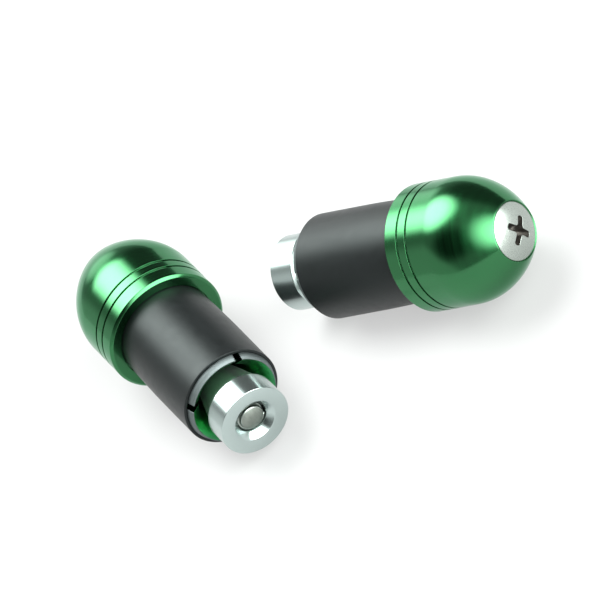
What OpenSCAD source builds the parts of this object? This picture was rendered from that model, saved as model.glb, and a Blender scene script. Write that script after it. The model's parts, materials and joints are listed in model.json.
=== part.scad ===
// Pair of handlebar end plugs lying on a flat surface, in millimetres.
// Each plug is a domed cap, a clamp screw, a split collet, a rubber sleeve and a wedge nut on one axis.
// Turning the screw draws the wedge nut into the collet, which then spreads inside the handlebar.
// A plug is modelled upright: +Z runs from the cap's back face, at z = 0, to the wedge nut.

/* [Cap] */
// Diameter of the cap
cap_d = 23.8; // [22.4:0.1:26]
// Length of the cap from its back face to its nose
cap_l = 22.1; // [20:0.1:26]
// Straight part of the cap, before it rounds over
skirt_l = 10; // [8:0.5:12]
// Diameter of the cap's nose, where the screw seat opens
nose_d = 11.5; // [11.3:0.1:12.5]
// Bevel round the cap's back face
cap_bevel = 0.5; // [0.2:0.1:0.8]
// Width of each turned groove
groove_w = 0.45; // [0.3:0.05:0.8]
// Depth of each turned groove
groove_depth = 0.35; // [0.2:0.05:0.8]
// Distance from the back face to the middle of the first groove
groove_at = 3.4; // [2:0.1:4]
// Distance between the two grooves
groove_pitch = 2.2; // [1.2:0.1:3]
// Depth of the round seat in the back face that takes the collet and the sleeve
seat_depth = 0.5; // [0.3:0.1:1]

/* [Collet and sleeve] */
// Outer diameter of the rubber sleeve
sleeve_d = 19.6; // [19.4:0.1:20.4]
// Length of the rubber sleeve
sleeve_l = 24; // [20:0.5:28]
// Thickness of the rubber
rubber = 0.6; // [0.4:0.1:1]
// How much narrower the collet and its sleeve are at the cap, on the radius
waist = 0.3; // [0:0.05:0.5]
// How far the bare end of the collet stands out of the sleeve
collet_out = 1.4; // [1:0.1:3]
// Diameter of the collet's flat end face
face_d = 17.5; // [17.2:0.1:18]
// Diameter of the collet's mouth
mouth_d = 17.1; // [16:0.1:17.1]
// Width of the saw cuts that divide the collet
slot_w = 1.3; // [0.8:0.1:2]
// Number of saw cuts
slot_count = 4; // [3, 4, 6]
// Solid length left between the cap and the saw cuts
slot_root = 8; // [5:0.5:12]

/* [Wedge nut] */
// Diameter of the wedge nut
nut_d = 14; // [13.4:0.1:14.4]
// Length of the nut's straight rim
rim_l = 5.1; // [3:0.1:6]
// Diameter of the nut's cone where it meets the shoulder
wedge_d = 12.8; // [12:0.1:13]
// Length of the nut's cone
wedge_l = 7.8; // [5:0.1:8]
// Half angle of the nut's cone
wedge_angle = 15; // [10:1:15]
// Diameter of the countersink in the nut's outer face
sink_d = 8.4; // [7:0.1:9]
// Distance between the slack nut and the nut fully drawn into the collet
travel = 4; // [2:0.1:6]

/* [Clamp screw] */
// Diameter of the screw's shank, which stands for an M6 thread
screw_d = 5.9; // [5.84:0.02:5.98]
// Diameter of the raised countersunk head
head_d = 11.1; // [10.4:0.1:11.2]
// Height of the head's crown
crown_h = 1.3; // [0.8:0.1:1.6]
// Tip to tip width of the cross recess
cross_d = 5.7; // [4.5:0.1:6.5]
// Width of one arm of the cross recess
cross_w = 1.15; // [0.9:0.05:1.5]
// Depth of the cross recess from the top of the crown
cross_depth = 2.8; // [2:0.1:3.2]
// Distance from the nut's outer face back to the end of the screw
tip_back = 1; // [0.5:0.1:2]

/* [Lie] */
// Place of the middle of the left cap's back face
left_at = [-25.64, 17.65]; // [-25.64, 17.65]
// Place of the middle of the right cap's back face
right_at = [19.13, -20]; // [19.13, -20]
// Heading of the left plug's axis, from cap to nut
left_heading = -90; // [-95:1:-85]
// Heading of the right plug's axis, from cap to nut
right_heading = 128.25; // [120:0.25:135]
// Turn of the collets about their axes
collet_turn = 47; // [0:1:90]
// Turn of the left screw about its axis
left_screw_turn = 20; // [0:0.5:90]
// Turn of the right screw about its axis
right_screw_turn = 75.5; // [0:0.5:90]

/* [Hidden] */
$fn = 96;

// Gap round the turning screw, on the radius
running_gap = 0.05;
// Gap between pieces that sit face to face or one inside the other
seat_gap = 0.02;
// Gap between the nut's cone and the collet when the nut is fully drawn in
wedge_gap = 0.05;
// Gap round the sleeve where it stands in the cap's seat, on the radius
seat_play = 0.15;
// Small break of a turned edge
edge = 0.15;
// Boss on the cap that centres the collet
boss_l = 2;
// Length over which the waist of the collet widens to its full diameter
waist_l = 12;
// Bevel at the end of the screw
tip_bevel = 0.65;
// Radius at the bottom of the cross recess
cross_point_r = 0.8;
// How far the tool that cuts the cross recess stands clear of the crown
clear = 1;
dome_steps = 24;
crown_steps = 12;

cap_r = cap_d / 2;
nose_r = nose_d / 2;
dome_l = cap_l - skirt_l;
sleeve_r = sleeve_d / 2;
collet_r = sleeve_r - rubber;
collet_l = sleeve_l + collet_out;
foot_at = seat_gap - seat_depth;
seat_r = sleeve_r - waist + seat_play;
screw_r = screw_d / 2;
hole_r = screw_r + running_gap;
nut_r = nut_d / 2;
wedge_r = wedge_d / 2;
wedge_end_r = wedge_r - wedge_l * tan(wedge_angle);
bore_r = wedge_end_r;
mouth_r = mouth_d / 2;

// The collet's mouth is the nut's own outline, shifted by the travel: a 45 degree flare, then the cone
throat_at = collet_l - (mouth_r - wedge_r);
wedge_at = throat_at + travel + wedge_gap;
rim_at = wedge_at + nut_r - wedge_r;
nut_face_at = rim_at + rim_l;
tip_at = nut_face_at - tip_back;

// The head sits in the cap's 90 degree seat, a running gap clear of it
head_r = head_d / 2;
head_at = -cap_l + nose_r - head_r - running_gap * sqrt(2);
crown_r = (head_r * head_r + crown_h * crown_h) / (2 * crown_h);
crown_angle = asin(head_r / crown_r);

// A plug lies on its cap's rim and its sleeve's far edge, so its axis dips towards the nut
dip = atan((cap_r - sleeve_r) / (sleeve_l + cap_bevel));
axis_h = cap_r * cos(dip) - cap_bevel * sin(dip);

// Lays an upright plug on the table: its place, its heading and the turn about its own axis
module lay(place, heading, turn = 0) {
    translate([place[0], place[1], axis_h])
        rotate([0, 0, heading])
            rotate([0, 90 + dip, 0])
                rotate([0, 0, turn])
                    children();
}

// Outline of the groove whose middle is this far behind the cap's back face
function groove_points(at) = [
    [cap_r, -at + groove_w / 2],
    [cap_r - groove_depth, -at + groove_w / 2],
    [cap_r - groove_depth, -at - groove_w / 2],
    [cap_r, -at - groove_w / 2]
];

// Point of the cap's round-over, a parabola, at this share of its length from the skirt to the nose
function dome_point(share) = [
    cap_r - (cap_r - nose_r) * share * share,
    -skirt_l - dome_l * share
];

// Point of the head's crown at this angle from its top
function crown_point(angle) = [
    crown_r * sin(angle),
    head_at - crown_r * (cos(angle) - cos(crown_angle))
];

module end_cap() {
    color("#2f7d46")
        rotate_extrude()
            polygon(concat(
                [
                    [hole_r, boss_l],
                    [bore_r - seat_gap - edge, boss_l],
                    [bore_r - seat_gap, boss_l - edge],
                    [bore_r - seat_gap, -seat_depth],
                    [seat_r, -seat_depth],
                    [seat_r, 0],
                    [cap_r - cap_bevel, 0],
                    [cap_r, -cap_bevel]
                ],
                groove_points(groove_at),
                groove_points(groove_at + groove_pitch),
                [for (i = [0 : dome_steps]) dome_point(i / dome_steps)],
                [[hole_r, -cap_l + nose_r - hole_r]]
            ));
}

module clamp_screw() {
    color("#b9bcb8")
        difference() {
            rotate_extrude()
                polygon(concat(
                    [
                        [0, tip_at],
                        [screw_r - tip_bevel, tip_at],
                        [screw_r, tip_at - tip_bevel],
                        [screw_r, head_at + head_r - screw_r]
                    ],
                    [for (i = [crown_steps : -1 : 0]) crown_point(crown_angle * i / crown_steps)]
                ));
            cross_recess();
        }
}

module cross_recess() {
    intersection() {
        for (a = [0, 90])
            rotate([0, 0, a])
                translate([-cross_d / 2, -cross_w / 2, head_at - crown_h - clear])
                    cube([cross_d, cross_w, cross_depth + clear]);
        translate([0, 0, head_at - crown_h - clear])
            cylinder(h = cross_depth + clear, r1 = cross_d / 2 + clear, r2 = cross_point_r);
    }
}

module split_collet() {
    color("#a8adb0")
        difference() {
            rotate_extrude()
                polygon([
                    [bore_r, foot_at],
                    [collet_r - waist, foot_at],
                    [collet_r, waist_l],
                    [collet_r, sleeve_l],
                    [face_d / 2, collet_l],
                    [mouth_r, collet_l],
                    [wedge_r, throat_at],
                    [bore_r, throat_at - wedge_l]
                ]);
            for (i = [0 : slot_count - 1])
                rotate([0, 0, i * 360 / slot_count])
                    translate([0, -slot_w / 2, slot_root])
                        cube([cap_r, slot_w, collet_l]);
        }
}

module rubber_sleeve() {
    color("#33393a")
        rotate_extrude()
            polygon([
                [collet_r - waist + seat_gap, foot_at],
                [sleeve_r - waist, foot_at],
                [sleeve_r, waist_l],
                [sleeve_r, sleeve_l],
                [collet_r + seat_gap, sleeve_l],
                [collet_r + seat_gap, waist_l]
            ]);
}

module wedge_nut() {
    color("#c5cdd0")
        rotate_extrude()
            polygon([
                [hole_r, wedge_at - wedge_l],
                [wedge_end_r, wedge_at - wedge_l],
                [wedge_r, wedge_at],
                [nut_r, rim_at],
                [nut_r, nut_face_at - edge],
                [nut_r - edge, nut_face_at],
                [sink_d / 2, nut_face_at],
                [hole_r, nut_face_at - sink_d / 2 + hole_r]
            ]);
}

module left_end_cap() {
    lay(left_at, left_heading) end_cap();
}

module left_clamp_screw() {
    lay(left_at, left_heading, left_screw_turn) clamp_screw();
}

module left_split_collet() {
    lay(left_at, left_heading, collet_turn) split_collet();
}

module left_rubber_sleeve() {
    lay(left_at, left_heading) rubber_sleeve();
}

module left_wedge_nut() {
    lay(left_at, left_heading) wedge_nut();
}

module right_end_cap() {
    lay(right_at, right_heading) end_cap();
}

module right_clamp_screw() {
    lay(right_at, right_heading, right_screw_turn) clamp_screw();
}

module right_split_collet() {
    lay(right_at, right_heading, collet_turn) split_collet();
}

module right_rubber_sleeve() {
    lay(right_at, right_heading) rubber_sleeve();
}

module right_wedge_nut() {
    lay(right_at, right_heading) wedge_nut();
}

left_end_cap();
left_clamp_screw();
left_split_collet();
left_rubber_sleeve();
left_wedge_nut();
right_end_cap();
right_clamp_screw();
right_split_collet();
right_rubber_sleeve();
right_wedge_nut();
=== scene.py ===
"""A pair of handlebar end plugs lying on a pale floor.

Every piece is modelled upright, in millimetres, on its own plug's axis: z = 0 at the cap's back
face and +z towards the wedge nut. It is then laid on the axis that the frame's screw joint gives.
"""
import json
import math

import bmesh
import bpy
from mathutils import Matrix, Vector


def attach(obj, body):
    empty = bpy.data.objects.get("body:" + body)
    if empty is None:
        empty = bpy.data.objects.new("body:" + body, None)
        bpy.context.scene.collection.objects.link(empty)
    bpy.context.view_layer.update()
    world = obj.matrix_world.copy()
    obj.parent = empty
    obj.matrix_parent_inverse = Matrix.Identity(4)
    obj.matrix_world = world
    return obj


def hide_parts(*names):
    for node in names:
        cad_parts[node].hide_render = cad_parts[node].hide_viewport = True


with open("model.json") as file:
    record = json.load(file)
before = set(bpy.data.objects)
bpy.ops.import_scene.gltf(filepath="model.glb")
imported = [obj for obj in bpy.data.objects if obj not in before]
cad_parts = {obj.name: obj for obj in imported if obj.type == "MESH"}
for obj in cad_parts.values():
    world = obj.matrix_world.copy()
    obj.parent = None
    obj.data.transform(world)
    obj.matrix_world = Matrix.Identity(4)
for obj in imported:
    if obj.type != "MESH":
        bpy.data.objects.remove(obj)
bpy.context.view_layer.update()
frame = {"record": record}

MM = 0.001

# ---------------------------------------------------------------- sizes, in millimetres

# End cap: a skirt, a dome, and behind them a boss inside the shallow seat for the tubes' feet.
CAP_R = 11.9
CAP_L = 22.1
SKIRT_L = 10.0
NOSE_R = 5.75
CAP_BEVEL = 0.5
CAP_EDGE = 0.06
GROOVES = (3.4, 5.6)
GROOVE_W = 0.45
GROOVE_DEPTH = 0.35
BOSS_R = 4.29
BOSS_L = 2.0
HOLE_R = 3.0
SEAT_DEPTH = 0.5

# Rubber sleeve, narrower over its waist, next to the cap.
SLEEVE_R = 9.8
SLEEVE_L = 24.0
SLEEVE_EDGE = 0.12
RUBBER = 0.6
WAIST = 0.3
WAIST_L = 12.0
WAIST_CURVE = 1.5
SEAT_GAP = 0.02
SEAT_PLAY = 0.15
SEAT_R = SLEEVE_R - WAIST + SEAT_PLAY
FOOT_AT = SEAT_GAP - SEAT_DEPTH

# Split collet: its mouth flares at 45 degrees, then follows the wedge down to the bore.
COLLET_R = SLEEVE_R - RUBBER
COLLET_L = 25.4
COLLET_FACE_R = 8.75
MOUTH_R = 8.55
WEDGE_R = 6.4
WEDGE_L = 7.8
BORE_R = 4.31
THROAT_AT = COLLET_L - (MOUTH_R - WEDGE_R)
SLOT_W = 1.3
SLOT_ROOT = 8.0
COLLET_TURN = math.radians(47.0)

# Wedge nut, standing out of the collet by its travel.
TRAVEL = 4.05
WEDGE_AT = THROAT_AT + TRAVEL
NUT_R = 7.0
RIM_AT = WEDGE_AT + NUT_R - WEDGE_R
RIM_L = 5.1
NUT_FACE_AT = RIM_AT + RIM_L
NUT_EDGE = 0.1
SINK_R = 4.2
SINK_END = NUT_FACE_AT - SINK_R + HOLE_R
NECK_NEAR = 0.5
NECK_FAR = 0.9
NUT_THREAD_R = 3.42
NUT_THREAD_FROM = 0.3
NUT_THREAD_TURNS = 10.0

# Clamp screw.
SHANK_R = 2.95
THREAD_ROOT_R = 2.42
THREAD_FROM = 9.0
THREAD_RUNOUT = 0.9
TIP_INSET = 1.0
TIP_AT = NUT_FACE_AT - TIP_INSET
TIP_BEVEL = 0.65
CORE_BEVEL = 0.2
CORE_INSET = 0.05
HEAD_R = 5.55
HEAD_AT = -21.97
HEAD_RIM = 0.08
CROWN_H = 1.3
SCREW_TURN = {"left": math.radians(20.0), "right": math.radians(75.5)}

# Both threads: ridges with a flat crest, their feet sunk a little into the cylinder.
PITCH = 1.0
RIDGE_CREST = 0.12
RIDGE_SUNK = 0.05
NUT_FLANK = 0.36
SCREW_FLANK = 0.38

# Cross recess: the arms at the crown, then their taper down to the floor.
CROSS_TIP = 2.85
CROSS_W = 1.25
CROSS_DEPTH = 2.5
CROSS_FILLET = 0.5
CROSS_ROLL = 0.09
CROSS_FLOOR_TIP = 0.7
CROSS_NARROWING = 0.35
CROSS_LEVELS = (0.45, 1.0)
CUTTER_TOP = 0.5
CUTTER_LIFT = 0.02
ARM_ARC = 60

# Segments of the round shapes.
TURN_STEPS = 192
SHANK_STEPS = 96
THREAD_STEPS = 64
DOME_STEPS = 56
CROWN_STEPS = 26
WAIST_STEPS = 10
ARM_STEPS = 6
ROLL_STEPS = 5
FILLET_STEPS = 4

# Distances under which two points count as one, and a point as lying on a plane.
MERGED = 1e-4
ON_PLANE = 1e-5

# Extra materials of a piece, by their place in its list; 0 is its main one.
COLLET_BARE, COLLET_MOUTH = 1, 2
SCREW_PAINTED_SHADE, SCREW_END = 1, 2
NUT_CONE = 1


# ---------------------------------------------------------------- mesh helpers

def spun(bm, profile, steps=TURN_STEPS, close=False):
    """Spins an outline of (z, r) points about the axis into a closed turned body."""
    verts = [bm.verts.new((r, 0.0, z)) for z, r in profile]
    pairs = list(zip(verts, verts[1:]))
    if close:
        pairs.append((verts[-1], verts[0]))
    edges = [bm.edges.new(pair) for pair in pairs]
    bmesh.ops.spin(bm, geom=verts + edges, cent=(0, 0, 0), axis=(0, 0, 1), angle=math.tau,
                   steps=steps, use_merge=True)
    bmesh.ops.remove_doubles(bm, verts=bm.verts, dist=MERGED)
    bmesh.ops.recalc_face_normals(bm, faces=bm.faces)


def broken_edges(bm, offset, segments=3, least=math.radians(25)):
    """Rounds every edge sharper than least, the way a turned edge is broken."""
    bm.normal_update()
    sharp = [e for e in bm.edges if len(e.link_faces) == 2 and e.calc_face_angle() > least]
    bmesh.ops.bevel(bm, geom=sharp, offset=offset, offset_type="OFFSET", segments=segments,
                    profile=0.5, affect="EDGES", material=-1, clamp_overlap=True)


def helix_ridge(bm, foot_r, crest_r, flank, start, turns):
    """Winds a right-handed thread ridge from its (z, r) section and closes its two ends."""
    section = [(0.0, foot_r), (flank, crest_r), (flank + RIDGE_CREST, crest_r),
               (2 * flank + RIDGE_CREST, foot_r)]
    verts = [bm.verts.new((r, 0.0, start + z)) for z, r in section]
    edges = [bm.edges.new((a, b)) for a, b in zip(verts, verts[1:] + verts[:1])]
    bmesh.ops.contextual_create(bm, geom=edges)
    made = bmesh.ops.spin(bm, geom=verts + edges, cent=(0, 0, 0), axis=(0, 0, 1),
                          dvec=(0, 0, PITCH / THREAD_STEPS), angle=math.tau * turns,
                          steps=int(THREAD_STEPS * turns))
    last = [g for g in made["geom_last"] if isinstance(g, bmesh.types.BMEdge)]
    bmesh.ops.contextual_create(bm, geom=last)
    bmesh.ops.recalc_face_normals(bm, faces=bm.faces)


def mesh_from(bm, name):
    """Turns a finished body into a mesh."""
    mesh = bpy.data.meshes.new(name)
    bm.to_mesh(mesh)
    bm.free()
    return mesh


def placed(name, data):
    """Adds an object with this mesh or camera to the scene."""
    thing = bpy.data.objects.new(name, data)
    bpy.context.scene.collection.objects.link(thing)
    return thing


def face_places(bm):
    """Every face of an upright body with its middle and its middle's distance from the axis."""
    for face in bm.faces:
        middle = face.calc_center_median()
        yield face, middle, math.hypot(middle.x, middle.y)


# ---------------------------------------------------------------- end cap and rubber sleeve

def end_cap():
    """Domed cap with two grooves and a countersunk nose; a centring boss in a seat behind."""
    bm = bmesh.new()
    outline = [(BOSS_L, HOLE_R), (BOSS_L, BOSS_R), (-SEAT_DEPTH, BOSS_R), (-SEAT_DEPTH, SEAT_R),
               (0.0, SEAT_R), (0.0, CAP_R - CAP_BEVEL), (-CAP_BEVEL, CAP_R)]
    for at in GROOVES:
        near, far = -at + GROOVE_W / 2, -at - GROOVE_W / 2
        outline += [(near, CAP_R), (near, CAP_R - GROOVE_DEPTH),
                    (far, CAP_R - GROOVE_DEPTH), (far, CAP_R)]
    dome_l = CAP_L - SKIRT_L
    for i in range(DOME_STEPS + 1):
        share = i / DOME_STEPS
        outline.append((-SKIRT_L - dome_l * share, CAP_R - (CAP_R - NOSE_R) * share ** 2))
    outline.append((-CAP_L + NOSE_R - HOLE_R, HOLE_R))
    spun(bm, outline, close=True)
    broken_edges(bm, CAP_EDGE)
    return bm


def rubber_sleeve():
    """Thin rubber tube, a little narrower towards the cap, with a soft far edge."""
    bm = bmesh.new()
    inner = COLLET_R + SEAT_GAP
    outline = [(FOOT_AT, inner - WAIST), (FOOT_AT, SLEEVE_R - WAIST)]
    for i in range(1, WAIST_STEPS + 1):
        share = i / WAIST_STEPS
        outline.append((WAIST_L * share, SLEEVE_R - WAIST * (1 - share) ** WAIST_CURVE))
    outline += [(SLEEVE_L, SLEEVE_R), (SLEEVE_L, inner), (WAIST_L, inner)]
    spun(bm, outline, close=True)
    broken_edges(bm, SLEEVE_EDGE, segments=4)
    return bm


# ---------------------------------------------------------------- split collet

def at_slot_root(vert):
    """Whether a point lies on the floor of the saw cuts."""
    return abs(vert.co.z - SLOT_ROOT) < MERGED


def saw_cuts(bm):
    """Divides the tube's far end by two crossing cuts and closes the walls and floors they leave."""
    half = SLOT_W / 2
    planes = [((half, 0, 0), (1, 0, 0)), ((-half, 0, 0), (1, 0, 0)),
              ((0, half, 0), (0, 1, 0)), ((0, -half, 0), (0, 1, 0)), ((0, 0, SLOT_ROOT), (0, 0, 1))]
    for place, normal in planes:
        bmesh.ops.bisect_plane(bm, geom=bm.verts[:] + bm.edges[:] + bm.faces[:], dist=ON_PLANE,
                               plane_co=place, plane_no=normal)
    inside = [face for face, middle, _ in face_places(bm)
              if middle.z > SLOT_ROOT and min(abs(middle.x), abs(middle.y)) < half]
    bmesh.ops.delete(bm, geom=inside, context="FACES")
    walls = {}
    roots = {}
    for edge in [e for e in bm.edges if e.is_boundary]:
        middle = (edge.verts[0].co + edge.verts[1].co) / 2
        across = 0 if abs(middle.x) < abs(middle.y) else 1
        slot = (across, middle[1 - across] > 0)
        if all(at_slot_root(v) for v in edge.verts):
            roots.setdefault(slot, []).append(edge)
        else:
            walls.setdefault(slot + (middle[across] > 0,), []).append(edge)
    for wall, edges in walls.items():
        root = bm.edges.new([v for e in edges for v in e.verts if at_slot_root(v)])
        bmesh.ops.contextual_create(bm, geom=edges + [root])
        roots[wall[:2]].append(root)
    for edges in roots.values():
        bmesh.ops.contextual_create(bm, geom=edges)
    bmesh.ops.recalc_face_normals(bm, faces=bm.faces)


def split_collet():
    """Tube with a flared mouth and a bare cone end, divided by four saw cuts."""
    bm = bmesh.new()
    spun(bm, [(FOOT_AT, BORE_R), (FOOT_AT, COLLET_R - WAIST), (WAIST_L, COLLET_R),
              (SLEEVE_L, COLLET_R), (COLLET_L, COLLET_FACE_R), (COLLET_L, MOUTH_R),
              (THROAT_AT, WEDGE_R), (THROAT_AT - WEDGE_L, BORE_R)], close=True)
    saw_cuts(bm)
    return bm


def colour_collet(bm):
    """Dyed all over, then its end is turned bare; the dyed mouth inside is left unpolished and painted a
    lighter green as painted light.
    """
    bare_from, mouth_edge, wall_edge = SLEEVE_L - 0.2, MOUTH_R - 0.02, SLOT_W / 2 + 0.01
    for face, middle, r in face_places(bm):
        saw_wall = min(abs(middle.x), abs(middle.y)) < wall_edge
        if middle.z > bare_from and r > mouth_edge:
            face.material_index = COLLET_BARE
        # painted light: the inside of the mouth gets the lighter green
        elif middle.z > THROAT_AT - WEDGE_L and not saw_wall and r < mouth_edge:
            face.material_index = COLLET_MOUTH


# ---------------------------------------------------------------- wedge nut

def wedge_nut():
    """Cone and rim turned from one bar, with a countersunk, threaded bore."""
    bm = bmesh.new()
    spun(bm, [(WEDGE_AT - WEDGE_L, NUT_THREAD_R), (WEDGE_AT - WEDGE_L, BORE_R), (WEDGE_AT, WEDGE_R),
              (RIM_AT, NUT_R), (NUT_FACE_AT, NUT_R), (NUT_FACE_AT, SINK_R), (SINK_END, HOLE_R),
              (SINK_END - NECK_NEAR, HOLE_R), (SINK_END - NECK_FAR, NUT_THREAD_R)], close=True)
    broken_edges(bm, NUT_EDGE)
    helix_ridge(bm, NUT_THREAD_R + RIDGE_SUNK, HOLE_R, NUT_FLANK,
                WEDGE_AT - WEDGE_L + NUT_THREAD_FROM, NUT_THREAD_TURNS)
    return bm


def colour_nut(bm):
    """Only the wedge's cone is rubbed smooth; the rim, the face and the countersink stay turned."""
    outside_from, cone_to = BORE_R - 0.1, WEDGE_AT + 0.05
    for face, middle, r in face_places(bm):
        if r > outside_from and middle.z < cone_to:
            face.material_index = NUT_CONE


# ---------------------------------------------------------------- clamp screw

def crown_height(r):
    """Height of the head's crown above its rim plane at this radius."""
    ball = (HEAD_R ** 2 + CROWN_H ** 2) / (2 * CROWN_H)
    return math.sqrt(ball ** 2 - r ** 2) - (ball - CROWN_H)


def cross_outline(tip, width):
    """One closed outline of the cross recess, with round arm ends and filleted inner corners."""
    half = width / 2
    arc_half = math.sin(math.radians(ARM_ARC))
    centre = Vector((half + CROSS_FILLET, half + CROSS_FILLET))
    points = []
    for quarter in range(4):
        turn = Matrix.Rotation(quarter * math.pi / 2, 2)
        for i in range(ARM_STEPS + 1):
            a = math.radians(2 * ARM_ARC * i / ARM_STEPS - ARM_ARC)
            end = Vector((tip - half * (1 - math.cos(a)), half * math.sin(a) / arc_half))
            points.append(turn @ end)
        for i in range(FILLET_STEPS + 1):
            a = math.radians(270 - 90 * i / FILLET_STEPS)
            points.append(turn @ (centre + CROSS_FILLET * Vector((math.cos(a), math.sin(a)))))
    return points


def cross_cutter():
    """Solid that cuts the cross recess: its mouth rolls over the crown, then its arms taper."""
    bm = bmesh.new()
    rings = [(CUTTER_TOP, CROSS_ROLL)]  # height above the crown, and width beyond the arm's
    for i in range(ROLL_STEPS + 1):
        a = math.pi / 2 * i / ROLL_STEPS
        rings.append((CUTTER_LIFT - CROSS_ROLL * (1 - math.cos(a)), CROSS_ROLL * (1 - math.sin(a))))
    loops = []
    for above, wider in rings:
        points = cross_outline(CROSS_TIP + wider, CROSS_W + 2 * wider)
        loops.append([bm.verts.new((p.x, p.y, HEAD_AT - crown_height(p.length) - above)) for p in points])
    for share in CROSS_LEVELS:
        tip = CROSS_TIP + (CROSS_FLOOR_TIP - CROSS_TIP) * share
        width = CROSS_W * (1 - CROSS_NARROWING * share)
        floor = HEAD_AT - crown_height(CROSS_TIP) + CROSS_ROLL + (CROSS_DEPTH - CROSS_ROLL) * share
        loops.append([bm.verts.new((p.x, p.y, floor)) for p in cross_outline(tip, width)])
    rows = [[bm.edges.new((a, b)) for a, b in zip(loop, loop[1:] + loop[:1])] for loop in loops]
    for above, below in zip(rows, rows[1:]):
        bmesh.ops.bridge_loops(bm, edges=above + below)
    bmesh.ops.contextual_create(bm, geom=rows[0])
    bmesh.ops.contextual_create(bm, geom=rows[-1])
    bmesh.ops.recalc_face_normals(bm, faces=bm.faces)
    return mesh_from(bm, "cross_cutter")


def cut_cross(bm):
    """Cuts the cross recess into the head."""
    blank = placed("head_blank", mesh_from(bm, "head_blank"))
    cutter = placed("cross_cutter", cross_cutter())
    cut = blank.modifiers.new("cut", "BOOLEAN")
    cut.operation = "DIFFERENCE"
    cut.object = cutter
    cut.solver = "EXACT"
    bpy.context.view_layer.update()
    result = blank.evaluated_get(bpy.context.evaluated_depsgraph_get()).to_mesh()
    out = bmesh.new()
    out.from_mesh(result)
    blank.to_mesh_clear()
    for thing in (blank, cutter):
        data = thing.data
        bpy.data.objects.remove(thing)
        bpy.data.meshes.remove(data)
    bmesh.ops.remove_doubles(out, verts=out.verts, dist=MERGED)
    return out


def threaded_shank():
    """The screw's shank with its thread, both cut to the bevel of its end."""
    bm = bmesh.new()
    core = [(THREAD_FROM, 0.0), (THREAD_FROM, THREAD_ROOT_R), (TIP_AT - CORE_BEVEL, THREAD_ROOT_R),
            (TIP_AT, SHANK_R - TIP_BEVEL - CORE_INSET), (TIP_AT, 0.0)]
    spun(bm, core, steps=SHANK_STEPS)
    helix_ridge(bm, THREAD_ROOT_R - RIDGE_SUNK, SHANK_R, SCREW_FLANK,
                THREAD_FROM, (TIP_AT - THREAD_FROM - THREAD_RUNOUT) / PITCH)
    for v in bm.verts:
        r = math.hypot(v.co.x, v.co.y)
        most = SHANK_R - TIP_BEVEL + (TIP_AT - v.co.z)
        if r > most:
            v.co.x *= most / r
            v.co.y *= most / r
    return bm


def clamp_screw():
    """Raised countersunk screw: a crowned head with a cross recess and a threaded shank."""
    head = bmesh.new()
    outline = []
    for i in range(CROWN_STEPS + 1):
        r = HEAD_R * i / CROWN_STEPS
        outline.append((HEAD_AT - crown_height(r), r))
    outline += [(HEAD_AT + HEAD_RIM, HEAD_R), (HEAD_AT + HEAD_R - SHANK_R, SHANK_R),
                (THREAD_FROM, SHANK_R), (THREAD_FROM, 0.0)]
    spun(head, outline)
    bm = cut_cross(head)
    shank = mesh_from(threaded_shank(), "shank")
    bm.from_mesh(shank)
    bpy.data.meshes.remove(shank)
    return bm


def colour_screw(bm):
    """Paints shade into the cross recess below its bright rolled rim, and dulls the flat end."""
    recess_r, rim_depth, recess_to, end_from = CROSS_TIP + 0.2, 0.12, THREAD_FROM - 1, TIP_AT - 0.02
    for face, middle, r in face_places(bm):
        # painted shade: faces deep in the cross recess get the dark steel
        if r < recess_r and HEAD_AT - crown_height(r) + rim_depth < middle.z < recess_to:
            face.material_index = SCREW_PAINTED_SHADE
        elif middle.z > end_from:
            face.material_index = SCREW_END
        else:
            face.material_index = 0


# ---------------------------------------------------------------- laying a piece on its plug

UV_PER_MM = 0.02


def plug_matrix(side):
    """The place of a plug's upright frame: its axis from the screw joint, its x axis downwards."""
    joint = next(j for j in frame["record"]["behaviour"]["joints"] if j["name"] == f"{side}_screw_turn")
    axis = Vector(joint["axis"]).normalized()
    y_axis = Vector((0, 0, 1)).cross(axis).normalized()
    x_axis = y_axis.cross(axis)
    turn = Matrix((x_axis, y_axis, axis)).transposed().to_4x4()
    return Matrix.Translation(joint["pos_m"]) @ turn @ Matrix.Scale(MM, 4)


def finish_piece(bm, side, name, body, materials, turn=0.0):
    """Lays a body on its plug's axis, keeps its upright coordinates as an attribute, attaches it to its
    body and hides the CAD part it replaces.
    """
    bmesh.ops.rotate(bm, verts=bm.verts, cent=(0, 0, 0), matrix=Matrix.Rotation(turn, 3, "Z"))
    upright = bm.verts.layers.float_vector.new("upright_mm")
    uv = bm.loops.layers.uv.new("turning")
    for v in bm.verts:
        v[upright] = v.co
    for face in bm.faces:
        face.smooth = True
        angles = [math.atan2(loop.vert.co.y, loop.vert.co.x) for loop in face.loops]
        wraps = max(angles) - min(angles) > math.pi
        for loop, angle in zip(face.loops, angles):
            around = angle / math.tau + (1.0 if wraps and angle < 0 else 0.0)
            co = loop.vert.co
            loop[uv].uv = (around, (co.z - math.hypot(co.x, co.y)) * UV_PER_MM)
    bmesh.ops.transform(bm, matrix=plug_matrix(side), verts=bm.verts)
    mesh = mesh_from(bm, f"{side}_{name}_mesh")
    for material in materials:
        mesh.materials.append(material)
    piece = placed(f"{side}_{name}_turned", mesh)
    weighted = piece.modifiers.new("even_shading", "WEIGHTED_NORMAL")
    weighted.mode = "FACE_AREA"
    weighted.weight = 50
    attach(piece, f"{side}_{body}")
    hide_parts(f"{side}_{name}")


# ---------------------------------------------------------------- material helpers

NOISE_LOW = 0.3
NOISE_HIGH = 0.7
QUARTER_TURN = 0.25
METAL = {"Metallic": 1.0}


def linear(code):
    """An sRGB hex colour as linear red, green, blue and alpha."""
    values = [int(code[i:i + 2], 16) / 255 for i in (1, 3, 5)]
    return [v / 12.92 if v <= 0.04045 else ((v + 0.055) / 1.055) ** 2.4 for v in values] + [1.0]


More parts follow.
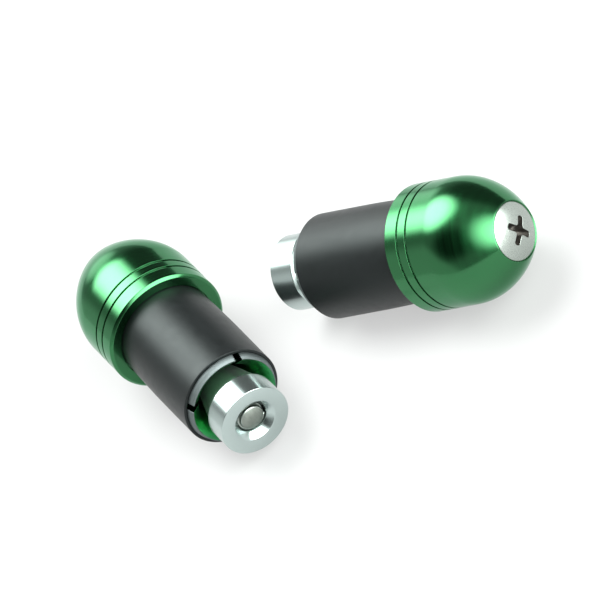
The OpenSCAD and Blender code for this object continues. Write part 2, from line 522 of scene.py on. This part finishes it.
def add(tree, kind, inputs=None, **settings):
    """Adds a node with its settings; an input is given a value, or a socket to link it from."""
    node = tree.nodes.new(kind)
    for name, value in settings.items():
        setattr(node, name, value)
    for key, value in (inputs or {}).items():
        if isinstance(value, bpy.types.NodeSocket):
            tree.links.new(value, node.inputs[key])
        else:
            node.inputs[key].default_value = value
    return node


def new_material(name, shader):
    """A material with a Principled shader whose uniform values sit on its own sockets."""
    material = bpy.data.materials.new(name)
    material.use_nodes = True
    tree = material.node_tree
    tree.nodes.clear()
    bsdf = add(tree, "ShaderNodeBsdfPrincipled", shader)
    add(tree, "ShaderNodeOutputMaterial", {"Surface": bsdf.outputs[0]})
    return material, tree, bsdf


def upright_place(tree):
    """The coordinates of the upright piece, in millimetres."""
    return add(tree, "ShaderNodeAttribute", attribute_name="upright_mm").outputs["Vector"]


def stretched(tree, place, **mapping):
    """Coordinates turned and scaled to draw a pattern out."""
    return add(tree, "ShaderNodeMapping", {"Vector": place, **mapping}).outputs[0]


def noise(tree, place, scale, detail, **shape):
    """A cloudy pattern; scale is about how many of its blots fit in a millimetre."""
    return add(tree, "ShaderNodeTexNoise",
               {"Vector": place, "Scale": scale, "Detail": detail, **shape}).outputs["Fac"]


def turned_marks(tree, place, spacing):
    """Fine rings left by the lathe tool, this many millimetres apart, uneven as real ones are.

    They follow the turned outline: z less the radius grows along it on a face as on a cylinder.
    """
    flat = add(tree, "ShaderNodeVectorMath", {0: place, 1: (1, 1, 0)}, operation="MULTIPLY").outputs[0]
    radius = add(tree, "ShaderNodeVectorMath", {0: flat}, operation="LENGTH").outputs["Value"]
    split = add(tree, "ShaderNodeSeparateXYZ", {0: place})
    along = add(tree, "ShaderNodeMath", {0: split.outputs["Z"], 1: radius},
                operation="SUBTRACT").outputs[0]
    return add(tree, "ShaderNodeTexNoise", {"W": along, "Scale": 1 / spacing, "Detail": 3.0,
                                            "Roughness": 0.65}, noise_dimensions="1D").outputs["Fac"]


def tone(tree, pattern, dark, light):
    """Mixes two close colours by a pattern."""
    return add(tree, "ShaderNodeMix", {"Factor": pattern, "A": linear(dark), "B": linear(light)},
               data_type="RGBA").outputs[2]


def spread(tree, pattern, low, high):
    """Stretches the range where most of a noise lies to run from low to high."""
    return add(tree, "ShaderNodeMapRange", {"Value": pattern, "From Min": NOISE_LOW, "From Max": NOISE_HIGH,
                                            "To Min": low, "To Max": high}).outputs[0]


def wear(tree, bsdf, pattern, colours, roughness, bump, colour_by=None, bump_by=None):
    """Varies a shader by a pattern: two colours, two roughnesses, a bump's strength and its depth in mm.

    The colour and the bump can each follow a pattern of their own instead.
    """
    strength, depth = bump
    if colour_by is None:
        colour_by = pattern
    if bump_by is None:
        bump_by = pattern
    height = add(tree, "ShaderNodeBump", {"Height": bump_by, "Strength": strength, "Distance": depth * MM})
    tree.links.new(tone(tree, colour_by, *colours), bsdf.inputs["Base Color"])
    tree.links.new(spread(tree, pattern, *roughness), bsdf.inputs["Roughness"])
    tree.links.new(height.outputs[0], bsdf.inputs["Normal"])


def glint_around(tree, bsdf):
    """Turns stretched glints to the direction in which the lathe tool travelled."""
    tangent = add(tree, "ShaderNodeTangent", direction_type="UV_MAP", uv_map="turning")
    tree.links.new(tangent.outputs[0], bsdf.inputs["Tangent"])


# ---------------------------------------------------------------- materials

def polished_green_anodised_aluminium():
    """Polished, dyed and sealed aluminium: a deep green mirror under a thin clear oxide skin."""
    material, tree, bsdf = new_material("polished_green_anodised_aluminium", {
        "Metallic": 1.0, "Specular Tint": (0.6, 0.85, 0.7, 1.0), "Coat Weight": 0.35,
        "Coat Roughness": 0.1, "Coat IOR": 1.7, "Anisotropic": 0.35,
        "Anisotropic Rotation": QUARTER_TURN})
    place = upright_place(tree)
    marks = turned_marks(tree, place, 0.35)
    drift = noise(tree, place, 0.09, 2.0)
    wear(tree, bsdf, marks, ("#236439", "#297140"), (0.16, 0.22), (0.4, 0.003), colour_by=drift)
    glint_around(tree, bsdf)
    return material


def painted_light_satin_anodised_aluminium():
    """Turned, dyed aluminium left unpolished: the cap's green painted about three times lighter, as painted
    light inside the collet's mouth, and spread soft by its roughness.
    """
    material, tree, bsdf = new_material("painted_light_satin_anodised_aluminium", {
        "Metallic": 1.0, "Coat Weight": 0.4, "Coat Roughness": 0.15})
    marks = turned_marks(tree, upright_place(tree), 0.3)
    # painted light: these greens are far lighter than the polished cap's, to light up the shaded mouth
    wear(tree, bsdf, marks, ("#44ad68", "#62c888"), (0.2, 0.28), (0.4, 0.005))
    return material


def brushed_aluminium():
    """Aluminium rubbed with a coarse abrasive: greyer, with slanting scratches round the end."""
    material, tree, bsdf = new_material("brushed_aluminium", METAL)
    drawn = stretched(tree, upright_place(tree), Rotation=(0.6, 0.5, 0.0), Scale=(0.6, 0.6, 9.0))
    scratches = noise(tree, drawn, 1.2, 4.0, Roughness=0.7)
    wear(tree, bsdf, scratches, ("#42494a", "#868f8f"), (0.5, 0.68), (0.6, 0.012))
    return material


def fine_turned_aluminium():
    """Bare aluminium faced on a lathe: bright, with rings that stretch every glint outwards."""
    material, tree, bsdf = new_material("fine_turned_aluminium", {
        "Metallic": 1.0, "Anisotropic": 0.6, "Anisotropic Rotation": QUARTER_TURN})
    marks = turned_marks(tree, upright_place(tree), 0.14)
    wear(tree, bsdf, marks, ("#adbab8", "#b6c3c0"), (0.23, 0.26), (0.08, 0.002))
    glint_around(tree, bsdf)
    return material


def satin_aluminium():
    """Bare aluminium rubbed smooth, so that the cone slides: it blurs the green mouth round it."""
    material, tree, bsdf = new_material("satin_aluminium", METAL)
    grain = noise(tree, upright_place(tree), 9.0, 3.0)
    wear(tree, bsdf, grain, ("#b2beb9", "#c6d1cc"), (0.33, 0.41), (0.4, 0.01))
    return material


def cropped_steel():
    """The screw's end as cropped from wire: dull, with arcs left by the tool."""
    material, tree, bsdf = new_material("cropped_steel", METAL)
    drawn = stretched(tree, upright_place(tree), Scale=(0.5, 3.0, 1.0))
    arcs = noise(tree, drawn, 1.4, 3.0, Distortion=0.6)
    wear(tree, bsdf, arcs, ("#646a64", "#989f97"), (0.34, 0.46), (0.4, 0.02))
    return material


def satin_stainless_steel():
    """Cold-formed stainless steel, tumbled: a warm grey metal with a soft, slightly uneven sheen."""
    material, tree, bsdf = new_material("satin_stainless_steel", METAL)
    grain = noise(tree, upright_place(tree), 5.0, 4.0, Roughness=0.7)
    wear(tree, bsdf, grain, ("#979f99", "#acb3ad"), (0.24, 0.34), (0.3, 0.01))
    return material


def recess_painted_shade_steel():
    """Cold-formed steel inside the recess, hardly shining, painted dark as painted shade for the deep
    recess.
    """
    material, tree, bsdf = new_material("recess_painted_shade_steel", {"Metallic": 0.7})
    stain = noise(tree, upright_place(tree), 2.0, 4.0)
    # painted shade: these very dark greys stand in for the shadow inside the recess
    wear(tree, bsdf, stain, ("#2b2925", "#4d4a44"), (0.45, 0.6), (0.4, 0.02))
    return material


def smooth_black_rubber():
    """Moulded rubber, ground smooth: charcoal with a soft, wide sheen and a faint mottle."""
    material, tree, bsdf = new_material("smooth_black_rubber", {
        "Specular IOR Level": 0.26, "IOR": 1.5, "Specular Tint": (0.87, 1.0, 0.98, 1.0)})
    place = upright_place(tree)
    mottle = noise(tree, place, 0.6, 5.0)
    grain = noise(tree, place, 7.0, 3.0)
    wear(tree, bsdf, mottle, ("#0c0e0e", "#121415"), (0.38, 0.44), (0.25, 0.01), bump_by=grain)
    return material


# ---------------------------------------------------------------- studio

SKY_LEVEL = 0.42
SKY_COLOUR = (0.97, 1.0, 0.985, 1.0)
SKY_PATCHES = (  # azimuth, elevation, radius and soft edge in degrees, then brightness
    (170, -18, 46, 14, 0.9),
    (-135, 50, 14, 24, 0.03),
    (38, 22, 14, 20, 0.12),
    (92, 14, 2, 18, 2.8),
    (96, 58, 6, 28, 13.0),
    (-55, 20, 16, 34, 10.0),
)
FLOOR_R_M = 6.0


def direction(azimuth, elevation):
    """A unit vector; azimuth runs from +X towards +Y, in degrees."""
    a, e = math.radians(azimuth), math.radians(elevation)
    return Vector((math.cos(e) * math.cos(a), math.cos(e) * math.sin(a), math.sin(e)))


def soft_patch(tree, towards, azimuth, elevation, radius, softness):
    """A round patch of sky, 1 inside this many degrees of its middle and 0 beyond its soft edge."""
    near = add(tree, "ShaderNodeVectorMath", {0: towards, 1: direction(azimuth, elevation)},
               operation="DOT_PRODUCT").outputs["Value"]
    return add(tree, "ShaderNodeMapRange", {
        "Value": near, "From Min": math.cos(math.radians(radius + softness)),
        "From Max": math.cos(math.radians(radius))}, interpolation_type="SMOOTHSTEP").outputs[0]


def studio_sky():
    """A grey room with round soft lights and dark gaps between them, each laid over the last."""
    world = bpy.data.worlds.new("studio")
    bpy.context.scene.world = world
    world.use_nodes = True
    tree = world.node_tree
    tree.nodes.clear()
    towards = add(tree, "ShaderNodeTexCoord").outputs["Generated"]
    level = SKY_LEVEL
    for *patch, brightness in SKY_PATCHES:
        mask = soft_patch(tree, towards, *patch)
        mix = add(tree, "ShaderNodeMix", {"Factor": mask, "A": level, "B": brightness})
        level = mix.outputs["Result"]
    sky = add(tree, "ShaderNodeBackground", {"Strength": level, "Color": SKY_COLOUR})
    add(tree, "ShaderNodeOutputWorld", {"Surface": sky.outputs[0]})


def pale_floor():
    """Wide sheet of white acrylic under the plugs, faintly lit from below as a light table is."""
    bm = bmesh.new()
    bmesh.ops.create_circle(bm, cap_ends=True, segments=96, radius=FLOOR_R_M)
    mesh = mesh_from(bm, "floor_mesh")
    material, _, _ = new_material("light_table", {
        "Roughness": 0.9, "Specular IOR Level": 0.2, "Base Color": (0.2, 0.2, 0.2, 1.0),
        "Emission Color": (1.0, 1.0, 1.0, 1.0), "Emission Strength": 0.5})
    mesh.materials.append(material)
    floor = placed("floor", mesh)


def long_lens_camera():
    """A very long lens, rolled so that both plugs run down the frame's diagonal."""
    azimuth, elevation, roll, distance = 91.99, -39.25, 47.51, 4.5834
    aim = Vector((-4.19, -3.92, 11.81)) * MM
    forward = direction(azimuth, elevation)
    turn = (-forward).to_track_quat("Z", "Y").to_matrix().to_4x4()
    camera = placed("camera", bpy.data.cameras.new("camera"))
    camera.data.lens = 1500
    camera.data.sensor_width = 36
    camera.data.clip_start = 0.1
    camera.data.clip_end = 50
    camera.matrix_world = (Matrix.Translation(aim - forward * distance) @ turn
                           @ Matrix.Rotation(math.radians(-roll), 4, "Z"))
    bpy.context.scene.camera = camera


# ---------------------------------------------------------------- the pair

green = polished_green_anodised_aluminium()
bare = fine_turned_aluminium()
lightened_mouth_green = painted_light_satin_anodised_aluminium()
brushed = brushed_aluminium()
steel = satin_stainless_steel()
recess_shade_steel = recess_painted_shade_steel()
dull_steel = cropped_steel()
satin_bare = satin_aluminium()
rubber = smooth_black_rubber()

for side in ("left", "right"):
    finish_piece(end_cap(), side, "end_cap", "plug", [green])
    screw = clamp_screw()
    colour_screw(screw)
    finish_piece(screw, side, "clamp_screw", "screw",
                 [steel, recess_shade_steel, dull_steel], SCREW_TURN[side])
    tube = split_collet()
    colour_collet(tube)
    finish_piece(tube, side, "split_collet", "plug",
                 [green, brushed, lightened_mouth_green], COLLET_TURN)
    finish_piece(rubber_sleeve(), side, "rubber_sleeve", "plug", [rubber])
    nut = wedge_nut()
    colour_nut(nut)
    finish_piece(nut, side, "wedge_nut", "nut", [bare, satin_bare])

pale_floor()
studio_sky()
long_lens_camera()
bpy.context.scene.view_settings.view_transform = "Standard"
